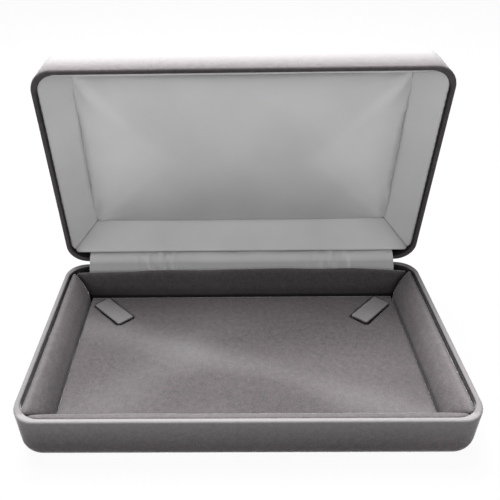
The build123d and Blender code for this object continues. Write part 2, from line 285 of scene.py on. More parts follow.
def inflate(piece, pressure, cap):
    """Simulates the piece as cloth over its padding and keeps each point within a cap."""
    stiffness, mass, frames, tiny = 20, 0.3, 20, 1e-9
    rest = [vertex.co.copy() for vertex in piece.data.vertices]
    activate(piece)
    cloth = piece.modifiers.new("Cloth", "CLOTH")
    cloth.settings.use_pressure = True
    cloth.settings.uniform_pressure_force = pressure
    cloth.settings.effector_weights.gravity = 0
    cloth.settings.tension_stiffness = stiffness
    cloth.settings.compression_stiffness = stiffness
    cloth.settings.mass = mass
    cloth.point_cache.frame_start = 1
    cloth.point_cache.frame_end = frames
    for step in range(1, frames + 1):
        bpy.context.scene.frame_set(step)
    posed = piece.evaluated_get(bpy.context.evaluated_depsgraph_get())
    moved = [vertex.co.copy() for vertex in posed.data.vertices]
    piece.modifiers.remove(cloth)
    bpy.context.scene.frame_set(1)
    for vertex, start, end in zip(piece.data.vertices, rest, moved):
        move = end - start
        vertex.co = start + move * min(1, cap / max(move.length, tiny))
    piece.data.update()


def uneven(piece, height, waves_per_metre, seed):
    """Moves each point a little along its normal, by smooth noise."""
    moves = []
    for vertex in piece.data.vertices:
        spot = vertex.co * waves_per_metre + Vector((seed, seed * 2, 0))
        moves.append(vertex.normal * noise.noise(spot) * height)
    for vertex, move in zip(piece.data.vertices, moves):
        vertex.co += move
    piece.data.update()


def fade(value, start, end):
    """0 before the start, 1 past the end and a straight ramp between them."""
    return max(0.0, min(1.0, (value - start) / (end - start)))


def step_share(value, width):
    """A soft step: 1 well below zero and 0 well above it."""
    return 1 / (1 + exp(value / width))


def bump_share(value, width):
    """A soft bump: 1 at zero, and 0 a few widths away."""
    return exp(-(value / width) ** 2)


def paint_nap_and_light(piece, lean):
    """Stores painted light and shade at each point, by its place and normal, and on the floor also
    how far the nap leans.
    """
    nap_and_painted_light = piece.data.attributes.new("nap_and_painted_light", "FLOAT", "POINT")
    for vertex, stored_value in zip(piece.data.vertices, nap_and_painted_light.data):
        stored_value.value = lean(vertex.co, vertex.normal)


# Materials

def add_node(tree, kind, inputs=None, **values):
    """Adds a shader node, and sets or links its inputs."""
    node = tree.nodes.new(kind)
    for name, value in values.items():
        setattr(node, name, value)
    set_inputs(tree, node, inputs or {})
    return node


def set_inputs(tree, node, inputs):
    """Links the inputs that are given a socket, and sets the others."""
    for name, value in inputs.items():
        if isinstance(value, bpy.types.NodeSocket):
            tree.links.new(value, node.inputs[name])
        else:
            node.inputs[name].default_value = value


def new_material(name):
    """An empty material, with its tree, shader and Object coordinates."""
    material = bpy.data.materials.new(name)
    material.use_nodes = True
    tree = material.node_tree
    tree.nodes.clear()
    shader = add_node(tree, "ShaderNodeBsdfPrincipled")
    add_node(tree, "ShaderNodeOutputMaterial", {"Surface": shader.outputs["BSDF"]})
    spot = add_node(tree, "ShaderNodeTexCoord").outputs["Object"]
    return material, tree, shader, spot


def velvet(name, wrap):
    """Rayon velvet with a short pile, woven and sheared."""
    # The upright pile throws light back at a low angle, which the sheen gives, and soft patches
    # show where a hand has stroked the pile another way. The colour is also painted: the point
    # attribute that it is mixed by holds the floor's stroked nap streaks and painted light. Above 0
    # it paints the pile paler (painted highlights on rims, crests and the lid's front wall), and
    # below 0 it paints it deeper (painted shade).
    patch, tuft = 45.5 * mm, 2.38 * mm
    fibre = 0.667 * mm  # drawn coarse: the real fibres are 0.05 mm apart, too fine to show
    stroke = {"Rotation": (0, 0, radians(-28)), "Scale": (0.45, 1.3, 1.0)}
    patch_share, tuft_share, fibre_share = 0.3, 0.25, 0.3
    material, tree, shader, spot = new_material(name)
    stroked = add_node(tree, "ShaderNodeMapping", {"Vector": spot, **stroke}).outputs["Vector"]
    levels = []
    for vector, size, detail, low in ((stroked, patch, 2, 0.3), (spot, tuft, 4, 0.3),
                                      (spot, fibre, 3, 0.35)):
        level = add_node(tree, "ShaderNodeTexNoise",
                         {"Vector": vector, "Scale": 1 / size, "Detail": detail})
        level = add_node(tree, "ShaderNodeMapRange", {
            "Value": level.outputs["Fac"], "From Min": low, "From Max": 1 - low})
        levels.append(level.outputs["Result"])
    patches, mottle, fibres = levels
    share = 0.0
    for level, part in ((patches, patch_share), (mottle, tuft_share), (fibres, fibre_share)):
        share = add_node(tree, "ShaderNodeMath", {0: level, 1: part, 2: share},
                         operation="MULTIPLY_ADD").outputs[0]
    # Painted highlight and painted shade: the pale colour is mixed in above 0 and the deep colour
    # below 0
    nap_and_painted_light = add_node(tree, "ShaderNodeAttribute", attribute_name="nap_and_painted_light").outputs["Fac"]
    deep_nap_and_shade = add_node(tree, "ShaderNodeMath", {0: nap_and_painted_light, 1: -1.0}, operation="MULTIPLY").outputs[0]
    pile = (*wrap.colour, 1)
    for part, tone in ((share, wrap.patch), (nap_and_painted_light, wrap.pale_and_highlight), (deep_nap_and_shade, wrap.deep_and_shade)):
        pile = add_node(tree, "ShaderNodeMix",
                        {share_in: part, first_in: pile, second_in: (*tone, 1)},
                        data_type="RGBA").outputs[colour_out]
    height = add_node(tree, "ShaderNodeMath", {0: mottle, 1: 0.5, 2: fibres},
                      operation="MULTIPLY_ADD").outputs[0]
    bump = add_node(tree, "ShaderNodeBump",
                    {"Height": height, "Strength": 0.35, "Distance": 0.15 * mm})
    set_inputs(tree, shader, {
        "Base Color": pile, "Normal": bump.outputs["Normal"], "Roughness": 0.95,
        "Specular IOR Level": 0.15, "Sheen Weight": 1.0, "Sheen Roughness": 0.22,
        "Sheen Tint": (1, 0.995, 0.995, 1),
    })
    return material


def satin(name, tone):
    """Polyester satin, woven with long warp floats over a fine weft."""
    # The smooth floats give a broad soft shine. The colour is also painted: a point attribute
    # paints the cushion's slopes that meet the light paler (painted highlight) and their neighbours
    # deeper (painted shade), and paints the hinge strip's lower half in shade. A soft cloud of
    # paler and deeper satin lies under it.
    cloud = 28.6 * mm
    float_pitch = 0.349 * mm  # drawn coarse: the real floats are 0.15 mm apart
    weft = 0.385 * mm  # drawn coarse: the real threads are 0.1 mm apart
    wave_length = 2 * pi / 20  # of a Wave node at scale 1, in metres
    # Painted highlight and painted shade: a paler and a deeper copy of the satin's colour
    pale_and_highlight = (*(min(1, share * 1.35) for share in tone), 1)
    deep_and_shade = (*(share * 0.65 for share in tone), 1)
    material, tree, shader, spot = new_material(name)
    cloudy = add_node(tree, "ShaderNodeTexNoise",
                      {"Vector": spot, "Scale": 1 / cloud, "Detail": 2}).outputs["Fac"]
    cloudy = add_node(tree, "ShaderNodeMapRange", {
        "Value": cloudy, "From Min": 0.3, "From Max": 0.7, "To Min": 0.43, "To Max": 0.57,
    }).outputs["Result"]
    lean = add_node(tree, "ShaderNodeAttribute", attribute_name="nap_and_painted_light").outputs["Fac"]
    share = add_node(tree, "ShaderNodeMath", {0: lean, 1: cloudy}, operation="ADD").outputs[0]
    colour_mix = add_node(tree, "ShaderNodeMix",
                          {share_in: share, first_in: deep_and_shade, second_in: pale_and_highlight}, data_type="RGBA")
    warp = add_node(tree, "ShaderNodeTexWave", {
        "Vector": spot, "Scale": wave_length / float_pitch, "Distortion": 1.5, "Detail": 1,
    }, bands_direction="X").outputs["Fac"]
    grain = add_node(tree, "ShaderNodeTexNoise",
                     {"Vector": spot, "Scale": 1 / weft, "Detail": 2}).outputs["Fac"]
    weave = add_node(tree, "ShaderNodeMath", {0: warp, 1: 0.5, 2: grain},
                     operation="MULTIPLY_ADD").outputs[0]
    bump = add_node(tree, "ShaderNodeBump",
                    {"Height": weave, "Strength": 0.12, "Distance": 0.05 * mm})
    set_inputs(tree, shader, {
        "Base Color": colour_mix.outputs[colour_out], "Normal": bump.outputs["Normal"],
        "Roughness": 0.42, "Specular IOR Level": 0.5, "Sheen Weight": 0.25,
        "Sheen Roughness": 0.4,
    })
    return material


def metal(name, code, roughness, scratch):
    """Rolled strip steel, pressed to shape."""
    # Rolling leaves fine scratches along the strip, so its highlights look brushed, and handling
    # leaves faint dull stains. The scratches are drawn coarse: real ones lie 0.05 mm apart.
    stain_size, stretch = 16.7 * mm, 0.06
    tone = srgb(code)
    dull = (*(share * 0.8 for share in tone), 1)
    material, tree, shader, spot = new_material(name)
    along = add_node(tree, "ShaderNodeMapping",
                     {"Vector": spot, "Scale": (stretch, 1, 1)}).outputs["Vector"]
    scratches = add_node(tree, "ShaderNodeTexNoise",
                         {"Vector": along, "Scale": 1 / scratch, "Detail": 4}).outputs["Fac"]
    stain = add_node(tree, "ShaderNodeTexNoise",
                     {"Vector": spot, "Scale": 1 / stain_size, "Detail": 3}).outputs["Fac"]
    stain = add_node(tree, "ShaderNodeMapRange",
                     {"Value": stain, "From Min": 0.35, "From Max": 0.75}).outputs["Result"]
    colour_mix = add_node(tree, "ShaderNodeMix",
                          {share_in: stain, first_in: (*tone, 1), second_in: dull},
                          data_type="RGBA")
    rough = add_node(tree, "ShaderNodeMapRange", {
        "Value": scratches, "From Min": 0.3, "From Max": 0.7,
        "To Min": roughness - 0.08, "To Max": roughness + 0.12,
    })
    bump = add_node(tree, "ShaderNodeBump",
                    {"Height": scratches, "Strength": 0.1, "Distance": 0.02 * mm})
    set_inputs(tree, shader, {
        "Base Color": colour_mix.outputs[colour_out], "Normal": bump.outputs["Normal"],
        "Roughness": rough.outputs["Result"], "Metallic": 1.0,
    })
    return material


def fibrous(name, dark, light, grain, roughness):
    """Pressed millboard or cut foam."""
    # Both are matt and speckled: the board by its short fibres, which clump at 2 mm, the foam by
    # its open cells, which are drawn coarse: real ones are 0.5 mm wide.
    material, tree, shader, spot = new_material(name)
    speckle = add_node(tree, "ShaderNodeTexNoise",
                       {"Vector": spot, "Scale": 1 / grain, "Detail": 5}).outputs["Fac"]
    speckle = add_node(tree, "ShaderNodeMapRange",
                       {"Value": speckle, "From Min": 0.35, "From Max": 0.65}).outputs["Result"]
    colour_mix = add_node(tree, "ShaderNodeMix", {
        share_in: speckle, first_in: (*srgb(dark), 1), second_in: (*srgb(light), 1),
    }, data_type="RGBA")
    bump = add_node(tree, "ShaderNodeBump",
                    {"Height": speckle, "Strength": 0.3, "Distance": 0.1 * mm})
    set_inputs(tree, shader, {
        "Base Color": colour_mix.outputs[colour_out], "Normal": bump.outputs["Normal"],
        "Roughness": roughness,
    })
    return material


@cache
def finishes():
    """The finishes of the box, each made once."""
    wrap, liner = settings("wrap"), settings("liner")
    return {
        "velvet": velvet("Cut pile velvet", wrap),
        "satin": satin("Woven satin", tuple(liner.colour)),
        "strip": satin("Woven satin strip", tuple(liner.strip)),
        "steel": metal("Cold rolled pressed steel", "#a5a5a6", 0.45, 1.11 * mm),
        "plated": metal("Nickel plated rolled steel", "#c4c3c0", 0.28, 0.714 * mm),
        "spring": metal("Blued rolled spring steel", "#5f646e", 0.32, 0.714 * mm),
        "card": fibrous("Pressed grey millboard", "#55534f", "#65625e", 2.0 * mm, 0.9),
        "foam": fibrous("Cut open cell foam", "#3c3c3e", "#4a4a4c", 1.11 * mm, 0.95),
    }


# Pieces

def draw_wrap(height):
    """One half's velvet wrap in the half frame: skin, rolled rim and turned-down edge."""
    corner_steps, edge_steps, rim_steps = 12, 9, 5
    wrap = settings("wrap")
    middle = wrap_back - box_depth / 2
    bpy.ops.object.select_all(action="DESELECT")
    bpy.ops.mesh.primitive_cube_add(size=1, location=(0, middle, -height / 2),
                                    scale=(box_width, box_depth, height))
    bpy.ops.object.transform_apply(location=True, rotation=True, scale=True)
    piece = bpy.context.object
    lean = height * sin(wrap.draft)
    bottom_size = (1 - 2 * lean / box_width, 1 - 2 * lean / box_depth, 1)
    rim_size = (1 - 2 * wrap.rim_width / box_width, 1 - 2 * wrap.rim_width / box_depth, 1)
    bpy.ops.object.mode_set(mode="EDIT")
    pick("VERT", lambda vertex: vertex.co.z < -height / 2)
    bpy.ops.transform.resize(value=bottom_size, center_override=(0, middle, -height))
    pick("EDGE", lambda edge: abs(edge_ends(edge)[0].z - edge_ends(edge)[1].z) > height / 2)
    bpy.ops.mesh.bevel(offset=wrap.corner_radius, segments=corner_steps, affect="EDGES")
    pick("EDGE", lambda edge: max(end.z for end in edge_ends(edge)) < -height + hair)
    bpy.ops.mesh.bevel(offset=wrap.edge_radius, segments=edge_steps, affect="EDGES")
    pick("FACE", lambda face: all(vertex.co.z > -hair for vertex in face.verts))
    bpy.ops.mesh.delete(type="FACE")
    pick("EDGE", is_rim_edge)
    bpy.ops.mesh.extrude_edges_move()
    bpy.ops.transform.resize(value=rim_size, center_override=(0, middle, 0))
    bpy.ops.mesh.extrude_edges_move(TRANSFORM_OT_translate={"value": (0, 0, -wrap.turn_down)})
    pick("EDGE", lambda edge: is_rim_edge(edge) and not is_corner_spoke(edge))
    bpy.ops.mesh.bevel(offset=wrap.rim_roll, segments=rim_steps, affect="EDGES")
    bpy.ops.mesh.select_all(action="SELECT")
    bpy.ops.mesh.normals_make_consistent(inside=False)
    bpy.ops.object.mode_set(mode="OBJECT")
    return piece


def is_rim_edge(edge):
    """True for an edge that lies in the rim plane."""
    return min(end.z for end in edge_ends(edge)) > -hair


def is_corner_spoke(edge):
    """True for a rim edge that runs across the rim, not along it."""
    first, second = edge_ends(edge)
    return abs(outline_depth(first) - outline_depth(second)) > settings("wrap").rim_width / 2


def outline_depth(point):
    """Rough distance of a rim point from the box's outline, inwards."""
    radius = settings("wrap").corner_radius
    middle = wrap_back - box_depth / 2
    core_x, core_y = box_width / 2 - radius, box_depth / 2 - radius
    over = Vector((max(abs(point.x) - core_x, 0), max(abs(point.y - middle) - core_y, 0)))
    return radius - over.length


def cut_hinge_room(piece):
    """Cuts the knuckles' notch out of the back rim, and the velvet away under the hinge leaf."""
    inside, beyond, under_lining, skin_room = 8 * mm, 6 * mm, 1 * mm, 0.05 * mm
    wrap = settings("wrap")
    half = (leaf_high[0] - leaf_low[0]) / 2 + wrap.notch_room
    front = wrap_back - inside
    skin = wrap_back - wrap.rim_width + wrap.cloth + skin_room
    for low, rear in ((-wrap.notch_depth, wrap_back + beyond),
                      (-wrap.turn_down - under_lining, skin)):
        bpy.ops.object.select_all(action="DESELECT")
        bpy.ops.mesh.primitive_cube_add(
            size=1, location=(0, (front + rear) / 2, (low + beyond) / 2),
            scale=(2 * half, rear - front, beyond - low))
        bpy.ops.object.transform_apply(location=True, rotation=True, scale=True)
        cutter = bpy.context.object
        apply_modifier(piece, "BOOLEAN", operation="DIFFERENCE", object=cutter, solver="EXACT")
        bpy.data.objects.remove(cutter)


def rim_share(height):
    """From 0 on the walls to 1 on the rim, by the height over the rim plane."""
    return fade(height, -1.7 * mm, -0.5 * mm)


def lining_share(local):
    """1 on the edge that is turned down inside the rim, and 0 elsewhere."""
    inner_share, under_rim, under_edge = 0.75, 0.6 * mm, 1 * mm
    wrap = settings("wrap")
    inside = outline_depth(local) > inner_share * wrap.rim_width
    return float(inside and -wrap.turn_down - under_edge < local.z < -under_rim)


def base_painted_light(spot, normal):
    """Painted light on the base's wrap: a painted highlight on the tight roll of its rim, painted
    shade that grows darker down the walls, and painted shade on the lining turned down inside the
    rim.
    """
    painted_rim_tone, other_rims, painted_wall_tone, even_height, front_wall = 0.2, 0.2, 0.3, 0.42, 4 * mm
    lining = lining_share(on_base.inverted() @ spot)
    rim = rim_share(spot.z - hinge.z) * max(0.0, normal.z)
    front = other_rims + (1 - other_rims) * (spot.y < base_low[1] + front_wall)
    return painted_rim_tone * front * rim + painted_wall_tone * (spot.z / hinge.z - even_height) - lining


def lid_painted_light(spot, normal):
    """Painted light on the lid's wrap: painted shade on its rim and the lining inside it, and a
    painted highlight on its front wall.
    """
    painted_wall_tone, painted_rim_tone = 0.5, 0.35
    to_lid = on_lid.inverted()
    local = to_lid @ spot
    rim = rim_share(local.z)
    front = max(0.0, -(to_lid.to_3x3() @ normal).y) * (local.y < -box_depth / 2)
    return painted_wall_tone * front * (1 - rim) - painted_rim_tone * rim - lining_share(local)


class WrapOperator(bpy.types.Operator):
    """Make the velvet wraps of the base and the lid"""
    bl_idname = "gift_box.wraps"
    bl_label = "Velvet Wraps"

    def execute(self, context):
        wrap = settings("wrap")
        halves = (("base", wrap.base_height, on_base, base_painted_light),
                  ("lid", wrap.lid_height, on_lid, lid_painted_light))
        for name, height, matrix, lean in halves:
            piece = draw_wrap(height)
            apply_modifier(piece, "SOLIDIFY", thickness=wrap.cloth, offset=-1,
                           use_even_offset=True)
            cut_hinge_room(piece)
            place(piece, matrix)
            paint_nap_and_light(piece, lean)
            finish_piece(piece, f"{name}_velvet_wrap", name, finishes()["velvet"],
                         f"{name}_cover")
            smooth(piece, 50)
        return {"FINISHED"}


def soft_copy(node, voxel, pressure, swell):
    """A remeshed copy of a soft node, swollen by its padding."""
    piece = node_copy(node, f"{node}_soft")
    apply_modifier(piece, "REMESH", mode="VOXEL", voxel_size=voxel)
    apply_modifier(piece, "SMOOTH", factor=0.5, iterations=3)
    inflate(piece, pressure, swell)
    apply_modifier(piece, "SMOOTH", factor=0.5, iterations=2)
    return piece


def raise_crest(piece, rise):
    """Pulls the crest of the rear wall up into a soft uneven roll, higher towards the right."""
    foot, crest, ends = -6 * mm, -1 * mm, 1.05
    tilt, ripple, ripples_per_metre = 0.35, 0.12, 120
    for vertex in piece.data.vertices:
        across = vertex.co.x / ribbon_high[0]
        high = fade(vertex.co.z - hinge.z, foot, crest)
        middle = max(0.0, 1 - (across / ends) ** 4)
        wave = 1 + tilt * across + ripple * sin(vertex.co.x * ripples_per_metre)
        vertex.co.z += rise * high * middle * wave
    piece.data.update()


def pad_painted_light(spot, normal):
    """Painted light on the wall pads: paler where they face up, most on the crests, and painted
    shade on the rear pad's front face and at the pads' feet.
    """
    even, painted_crest_light, painted_rear_shade, painted_foot_shade = -0.05, 0.12, 0.5, 0.6
    rear = max(0.0, -normal.y) * (spot.y > 0)
    foot = 1 - fade(spot.z, floor_high[2] + 0.2 * mm, floor_high[2] + 1.2 * mm)
    return even + painted_crest_light * normal.z - painted_rear_shade * rear - painted_foot_shade * foot


class WallPadOperator(bpy.types.Operator):
    """Make the four padded velvet walls of the insert"""
    bl_idname = "gift_box.wall_pads"
    bl_label = "Wall Pads"

    def execute(self, context):
        waves_per_metre, seed_step = 60, 3.7
        insert = settings("insert")
        for seed, side in enumerate(("left", "right", "front", "rear")):
            piece = soft_copy(f"{side}_wall_pad", insert.voxel, insert.pressure, insert.swell)
            uneven(piece, insert.wave, waves_per_metre, seed_step * seed)
            if side == "rear":
                raise_crest(piece, insert.rear_rise)
            paint_nap_and_light(piece, pad_painted_light)
            finish_piece(piece, f"{side}_padded_wall", "base", finishes()["velvet"],
                         f"{side}_wall_pad")
            smooth(piece)
        return {"FINISHED"}


def crown_share(across, along):
    """Height of a crown with soft ridges to its four corners, from 0 at the edge to 1."""
    squareness, fullness = 5.0, 0.8
    reach = (abs(across) ** squareness + abs(along) ** squareness) ** (1 / squareness)
    return max(0.0, 1 - reach) ** fullness


def hip_share(across, along):
    """Height of the satin cushion, from 0 to 1: a soft hip roof with ridges from its corners."""
    side_bulge, end_bulge, ridge_radius, ridge_growth = 1.35, 1.45, 0.05, 0.3
    sides = 1 - abs(across) ** side_bulge
    ends = 1 - abs(along) ** end_bulge
    lower = min(sides, ends)
    soft = ridge_radius + ridge_growth * lower
    return max(0.0, lower - soft * exp(-abs(sides - ends) / soft) / 2)


def lines_of_nap(across, along):
    """How far the floor's nap leans to the light: two stroked streaks and a hollow between."""
    # Across and along run from -1 to 1 over the floor, and each line is 0 along its streak
    long_line = along + 0.76 * across + 0.29
    short_line = along - 1.6 * across - 0.4
    left_only = step_share(across + 0.2, 0.05)
    streaks = bump_share(long_line, 0.23) + 0.6 * bump_share(short_line, 0.45) * left_only
    hollow = 1.1 * bump_share(across - 0.05, 0.38) * bump_share(along + 0.62, 0.3)
    return streaks - hollow


class FloorOperator(bpy.types.Operator):
    """Make the velvet floor with its soft crown and brushed streaks"""
    bl_idname = "gift_box.floor"
    bl_label = "Velvet Floor"

    def execute(self, context):
        streak_tone, painted_side_tone, level, ridge_fade = 0.1, 0.9, 0.9, 3
        insert = settings("insert")
        centre, half = (floor_low + floor_high) / 2, (floor_high - floor_low) / 2
        piece = node_copy("floor_pad", "floor_pad_soft")
        apply_modifier(piece, "REMESH", mode="VOXEL", voxel_size=insert.floor_voxel)
        apply_modifier(piece, "SMOOTH", factor=0.5, iterations=2)
        for vertex in piece.data.vertices:
            across = (vertex.co.x - centre.x) / half.x
            along = (vertex.co.y - centre.y) / half.y
            if vertex.co.z > centre.z:
                crown = crown_share(across, along)
                ridge = min(1, ridge_fade * crown) * lines_of_nap(across, along)
                vertex.co.z += insert.crown * crown + insert.ridge * ridge
        piece.data.update()

        # Besides the nap's stroked streaks, the floor's steep edges by the pads are painted in
        # shade
        def floor_nap_and_shade(spot, normal):
            across, along = (spot.x - centre.x) / half.x, (spot.y - centre.y) / half.y
            steep = max(0.0, level - normal.z)
            return streak_tone * lines_of_nap(across, along) - painted_side_tone * steep

        paint_nap_and_light(piece, floor_nap_and_shade)
        finish_piece(piece, "velvet_floor", "base", finishes()["velvet"], "floor_pad")
        smooth(piece)
        return {"FINISHED"}


class TabOperator(bpy.types.Operator):
    """Make the two velvet necklace tabs"""
    bl_idname = "gift_box.tabs"
    bl_label = "Necklace Tabs"

    def execute(self, context):
        waves_per_metre, seed, painted_top_light = 180, 1.3, 0.22
        insert = settings("insert")
        for side in ("left", "right"):
            piece = node_copy(f"{side}_tab", f"{side}_tab_soft")
            apply_modifier(piece, "REMESH", mode="VOXEL", voxel_size=insert.tab_voxel)
            apply_modifier(piece, "SMOOTH", factor=0.5, iterations=4)
            uneven(piece, insert.tab_wave, waves_per_metre, seed)
            # Painted light: the faces of the tabs that look up are painted paler
            paint_nap_and_light(piece, lambda spot, normal: painted_top_light * max(0.0, normal.z))
            finish_piece(piece, f"{side}_necklace_tab", f"{side}_tab", finishes()["velvet"],
                         f"{side}_tab")
            smooth(piece)
        return {"FINISHED"}


def corner_fold(across, along, width_share):
    """Small tension folds that fan out from the nearest corner of the satin, from -1 to 1."""
    folds, fan_reach, corner_room, tiny = 6, 0.22, 0.05, 1e-6
    right, up = 1 - abs(across), (1 - abs(along)) * width_share
    reach = (right ** 2 + up ** 2) ** 0.5
    if reach < tiny:
        return 0.0
    turn = right / (right + up + tiny)
    return sin(turn * folds * pi) * exp(-reach / fan_reach) * min(1, reach / corner_room)


def cushion_painted_light(across, along):
    """Painted light on the satin cushion: painted highlights on its side facets and along its
    corner ridges, and painted shade on its lower facet.
    """
    painted_side_tone, painted_lower_shade, painted_ridge_highlight = 0.13, 0.2, 0.32
    facet_blend, ridge_width, ridge_reach, slope = 0.12, 0.1, 0.18, 1.9
    sides, ends = 1 - abs(across), 1 - abs(along)
    past_ridge = sides * slope - ends
    ridge = bump_share(past_ridge, ridge_width) * exp(-sides / ridge_reach)
    lower = step_share(past_ridge, -facet_blend) * (0.5 + 0.5 * along) ** 2
    return (painted_side_tone * step_share(past_ridge, facet_blend) - painted_lower_shade * lower
            + painted_ridge_highlight * ridge)


class LinerPadOperator(bpy.types.Operator):
    """Make the satin cushion in the middle of the lid"""
    bl_idname = "gift_box.liner_pad"
    bl_label = "Satin Cushion"

    def execute(self, context):
        # Between its corners the cushion bulges more, where the panels' edges stand off most
        side_tuck, side_lift = 0.5, 1.5
        liner = settings("liner")
        piece = node_copy("liner_centre_pad", "cushion_soft")
        apply_modifier(piece, "REMESH", mode="VOXEL", voxel_size=liner.voxel)
        place(piece, on_lid.inverted())
        low = min(vertex.co.z for vertex in piece.data.vertices)
        folds = []
        for vertex in piece.data.vertices:
            spot = vertex.co
            along = (spot.y - liner_middle) / (liner_reach - liner.gap)
            between = 1 - along ** 2
            across = spot.x / (liner_half - liner.gap - liner.draw_in * between)
            spot.x = across * (liner_half + liner.tuck * (1 + side_tuck * between))
            spot.y = liner_middle + along * (liner_reach + liner.tuck)
            if spot.z > low + liner.gap:
                spot.z += liner.lift * (1 + side_lift * between)
                spot.z += liner.crown * hip_share(across, along)
                fold = corner_fold(across, along, liner_reach / liner_half)
                folds.append((vertex.index, liner.fold * fold))
        piece.data.update()
        apply_modifier(piece, "SMOOTH", factor=0.5, iterations=4)
        inflate(piece, liner.pressure, liner.swell)
        # Painted light: the cushion's facets and ridges are painted paler or deeper
        paint_nap_and_light(piece, lambda spot, normal: cushion_painted_light(spot.x / liner_half,
                                                        (spot.y - liner_middle) / liner_reach))
        for index, fold in folds:
            piece.data.vertices[index].co.z += fold
        piece.data.update()
        apply_modifier(piece, "SMOOTH", factor=0.5, iterations=1)
        place(piece, on_lid)
        finish_piece(piece, "satin_cushion", "lid", finishes()["satin"], "liner_centre_pad")
        smooth(piece)
        return {"FINISHED"}


class LinerPanelOperator(bpy.types.Operator):
    """Make the four satin covered cards round the cushion"""
    bl_idname = "gift_box.liner_panels"
    bl_label = "Satin Panels"

    def execute(self, context):
        waves_per_metre, seed_step = 35, 5.1
        liner = settings("liner")
        for seed, side in enumerate(("left", "right", "front", "rear")):
            piece = node_copy(f"liner_{side}_panel", f"{side}_panel_soft")
            apply_modifier(piece, "REMESH", mode="VOXEL", voxel_size=liner.panel_voxel)
            apply_modifier(piece, "SMOOTH", factor=0.5, iterations=2)
            apply_modifier(piece, "DISPLACE", strength=liner.puff, mid_level=0)
            uneven(piece, liner.puff, waves_per_metre, seed_step * seed)
            finish_piece(piece, f"{side}_satin_panel", "lid", finishes()["satin"],
                         f"liner_{side}_panel")
            smooth(piece)
        return {"FINISHED"}


def lid_point(forward, depth):
    """Where a point of the lid's half lies in the base's half frame, as (Y, Z)."""
    return Vector((-cos(lid_opening) * forward + sin(lid_opening) * depth,
                   sin(lid_opening) * forward + cos(lid_opening) * depth))


def rounded_path(points, rounds):
    """A path with its corners cut again and again until it is smooth."""
    corner_cut = 0.25
    for _ in range(rounds):
        corners_cut = [points[0]]
        for first, second in zip(points, points[1:]):
            corners_cut += [first.lerp(second, corner_cut), first.lerp(second, 1 - corner_cut)]
        points = corners_cut + [points[-1]]
    return points


def path_point(points, share):
    """The point at a share of a path's length, and the path's direction there."""
    lengths = [(second - first).length for first, second in zip(points, points[1:])]
    left = share * sum(lengths)
    for first, second, size in zip(points, points[1:], lengths):
        if left <= size:
            return first.lerp(second, left / size), (second - first).normalized()
        left -= size
    return points[-1].copy(), (points[-1] - points[-2]).normalized()


def pucker_height(x, share):
    """Height of the small puckers where the satin strip is bunched, from the lowest up."""
    bunches = ((-41 * mm, 9 * mm, 6.2 * mm), (46 * mm, 10 * mm, 7.4 * mm))
    lowest, ripple, unevenness, slope, seed = -0.1, 0.12, 0.35, 2.2, 4.2
    ripples_per_metre, bends_per_metre, dents_per_metre = 210, 90, 60
    held = sin(share * pi)  # no puckers at the strip's two held edges
    height = ripple * sin(x * ripples_per_metre) * held
    for middle, spread, pitch in bunches:
        bend = noise.noise(Vector((x * bends_per_metre, share * 2, middle)))
        wave = sin(2 * pi * (x - middle) / pitch + slope * share + bend)
        height += bump_share(x - middle, spread) * wave * held
    height += unevenness * noise.noise(Vector((x * dents_per_metre, share, seed)))
    return max(lowest, height)


class RibbonOperator(bpy.types.Operator):
    """Make the satin strip that hides the hinge"""
    bl_idname = "gift_box.ribbon"
    bl_label = "Hinge Strip"

    def execute(self, context):
        # Where the strip runs: down behind the rear pad and behind the rear panel, and over the
        # rims, by the distance from the hinge's axis and the depth under each rim plane
        behind_pad, behind_panel = 5.55 * mm, 4.45 * mm
        pad_end, panel_end, shoulder = 7.4 * mm, 5.9 * mm, 2.2 * mm
        rim_reach, over_rim = 3.75 * mm, 0.5 * mm
        shade_edge, shade_blend = 0.5, 0.05
        ribbon = settings("ribbon")
        width = ribbon_high[0] - ribbon_low[0]
        points = rounded_path([
            Vector((-behind_pad, -pad_end)), Vector((-behind_pad, -shoulder)),
            Vector((-rim_reach, over_rim)), lid_point(rim_reach, -over_rim),
            lid_point(behind_panel, shoulder), lid_point(behind_panel, panel_end),
        ], 3)
        bpy.ops.object.select_all(action="DESELECT")
        bpy.ops.mesh.primitive_grid_add(x_subdivisions=ribbon.columns, y_subdivisions=ribbon.steps,
                                        size=1)
        piece = bpy.context.object
        # Painted shade: the half of the strip that runs down to the base is painted deeper, where
        # the lid shades it
        shade = piece.data.attributes.new("nap_and_painted_light", "FLOAT", "POINT")
        for vertex, tone in zip(piece.data.vertices, shade.data):
            x, share = vertex.co.x * width, vertex.co.y + 0.5
            tone.value = -step_share(share - shade_edge, shade_blend)
            spot, heading = path_point(points, share)
            out = Vector((-heading.y, heading.x))
            spot = spot + out * ribbon.pucker * pucker_height(x, share)
            vertex.co = Vector((x, spot.x, spot.y)) + hinge
        piece.data.update()
        apply_modifier(piece, "SOLIDIFY", thickness=ribbon.thickness, offset=0)
        activate(piece)
        bpy.ops.object.mode_set(mode="EDIT")
        bpy.ops.mesh.select_all(action="SELECT")
        bpy.ops.mesh.normals_make_consistent(inside=False)
        bpy.ops.object.mode_set(mode="OBJECT")
        finish_piece(piece, "satin_hinge_strip", None, finishes()["strip"], "hinge_ribbon")
        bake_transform(piece)
        smooth(piece)
        return {"FINISHED"}


